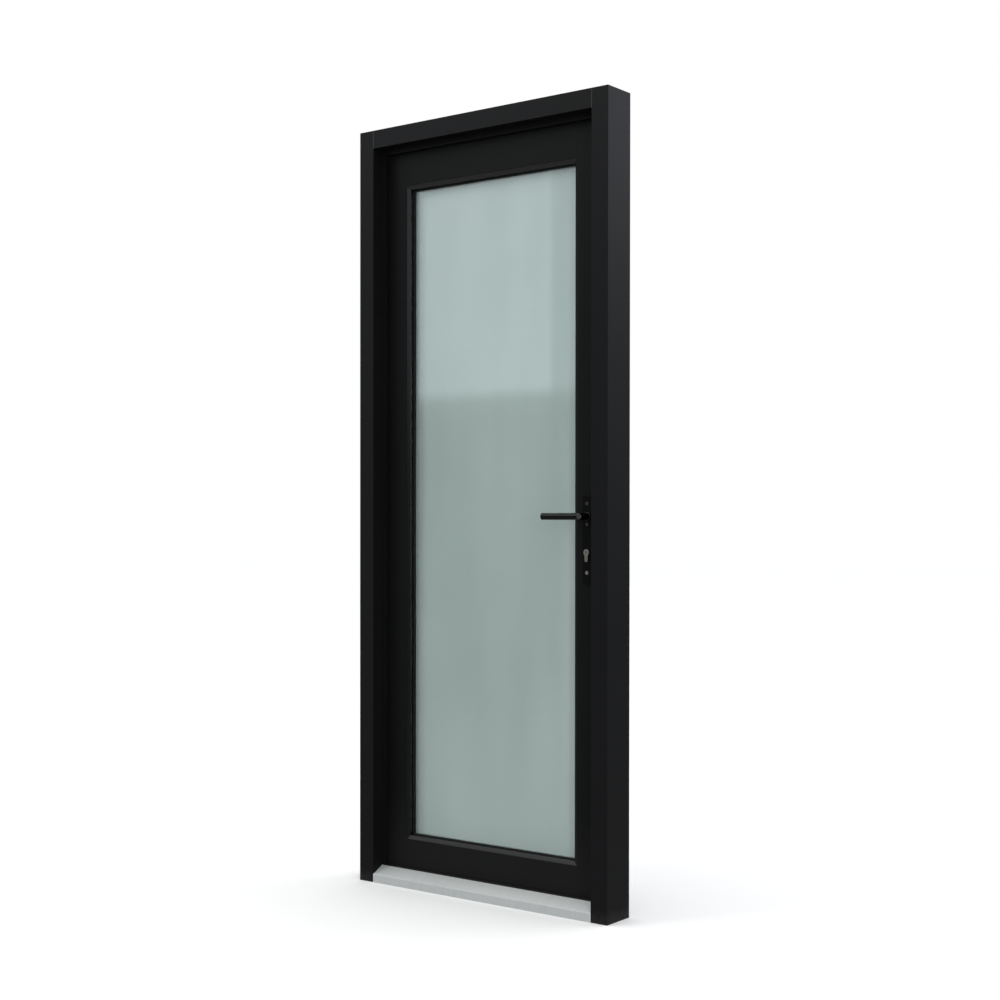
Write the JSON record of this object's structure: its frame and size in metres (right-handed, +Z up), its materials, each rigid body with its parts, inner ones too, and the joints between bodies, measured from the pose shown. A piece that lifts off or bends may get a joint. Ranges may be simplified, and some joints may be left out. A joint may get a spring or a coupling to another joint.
{
  "type": "glass door",
  "caption": "Single hinged door with one tall glazed panel in a dark metal frame, lever handles on long back plates and a silver sill.",
  "frame": {"origin": "centre of the underside of the sill, midway between the jambs and midway through the frame's depth", "axes": "+Z up, X across the frame with the hinges at -X and the lock at +X, -Y towards the side with the sloped sill, +Y towards the side the leaf opens to"},
  "size_m": [0.836, 0.155, 2.1],
  "materials": {
    "frame_coat": "satin charcoal-black powder coat",
    "leaf_coat": "satin charcoal-black powder coat",
    "hinge_coat": "satin black powder coat",
    "handle_coat": "satin black paint",
    "sill_metal": "matt silver anodised",
    "mill_aluminium": "mill",
    "seal_rubber": "matt black",
    "steel": "brushed",
    "screw_steel": "zinc plated",
    "cylinder_metal": "nickel-plated brass, satin",
    "pane_glass": "pale grey-green, satin",
    "nylon": "matt black"
  },
  "bodies": {
    "frame": {"hinge_jamb": "frame_coat", "lock_jamb": "frame_coat", "head": "frame_coat", "sill": "sill_metal", "frame_cleats": "mill_aluminium", "hinge_jamb_seal": "seal_rubber", "lock_jamb_seal": "seal_rubber", "head_seal": "seal_rubber", "sill_seal": "seal_rubber", "strike_plate": "steel", "strike_backing": "steel", "strike_screws": "screw_steel", "bottom_hinge_frame_flag": "hinge_coat", "middle_hinge_frame_flag": "hinge_coat", "top_hinge_frame_flag": "hinge_coat", "hinge_pins": "screw_steel", "frame_hinge_screws": "screw_steel"},
    "leaf": {"hinge_stile": "leaf_coat", "lock_stile": "leaf_coat", "top_rail": "leaf_coat", "bottom_rail": "leaf_coat", "leaf_cleats": "mill_aluminium", "hinge_side_bead": "leaf_coat", "lock_side_bead": "leaf_coat", "top_bead": "leaf_coat", "bottom_bead": "leaf_coat", "outer_pane": "pane_glass", "inner_pane": "pane_glass", "spacer_frame": "mill_aluminium", "outer_glazing_seal": "seal_rubber", "inner_glazing_seal": "seal_rubber", "setting_blocks": "nylon", "bottom_sweep": "seal_rubber", "bottom_hinge_leaf_flag": "hinge_coat", "middle_hinge_leaf_flag": "hinge_coat", "top_hinge_leaf_flag": "hinge_coat", "leaf_hinge_screws": "screw_steel", "lock_case": "steel", "lock_cover": "steel", "forend": "steel", "forend_blocks": "mill_aluminium", "forend_screws": "screw_steel", "cylinder_body": "cylinder_metal", "cylinder_screw": "screw_steel", "outer_back_plate": "handle_coat", "inner_back_plate": "handle_coat", "lever_bushes": "nylon", "plate_screws": "screw_steel", "latch_spring": "steel"},
    "handle": {"outer_lever": "handle_coat", "inner_lever": "handle_coat", "spindle": "steel", "follower": "steel", "grub_screws": "screw_steel"},
    "latch": {"latch_bolt": "steel"},
    "deadbolt": {"deadbolt": "steel"},
    "key_plug": {"outer_key_plug": "cylinder_metal", "inner_key_plug": "cylinder_metal", "cylinder_cam": "steel"}
  },
  "joints": [
    {"name": "door_swing", "type": "hinge", "parent": "frame", "child": "leaf", "pos_m": [-0.3665, 0.059, 1.05], "axis": [0, 0, 1], "range_deg": [0, 110]},
    {"name": "handle_turn", "type": "hinge", "parent": "leaf", "child": "handle", "pos_m": [0.325, 0.0235, 1.024], "axis": [0, -1, 0], "range_deg": [0, 40], "stiffness_Nm_per_rad": 2, "springref_deg": -28.65},
    {"name": "latch_slide", "type": "slide", "parent": "leaf", "child": "latch", "axis": [1, 0, 0], "range_m": [-0.012, 0], "deforming": ["latch_spring"]},
    {"name": "key_turn", "type": "hinge", "parent": "leaf", "child": "key_plug", "pos_m": [0.325, 0.0235, 0.932], "axis": [0, 1, 0], "range_deg": [0, 360]},
    {"name": "bolt_slide", "type": "slide", "parent": "leaf", "child": "deadbolt", "axis": [1, 0, 0], "range_m": [0, 0.02]}
  ],
  "couplings": [
    {"joint": "latch_slide", "follows": "handle_turn", "m_per_rad": -0.017188},
    {"joint": "key_turn", "follows": "bolt_slide", "rad_per_m": 314.16}
  ]
}
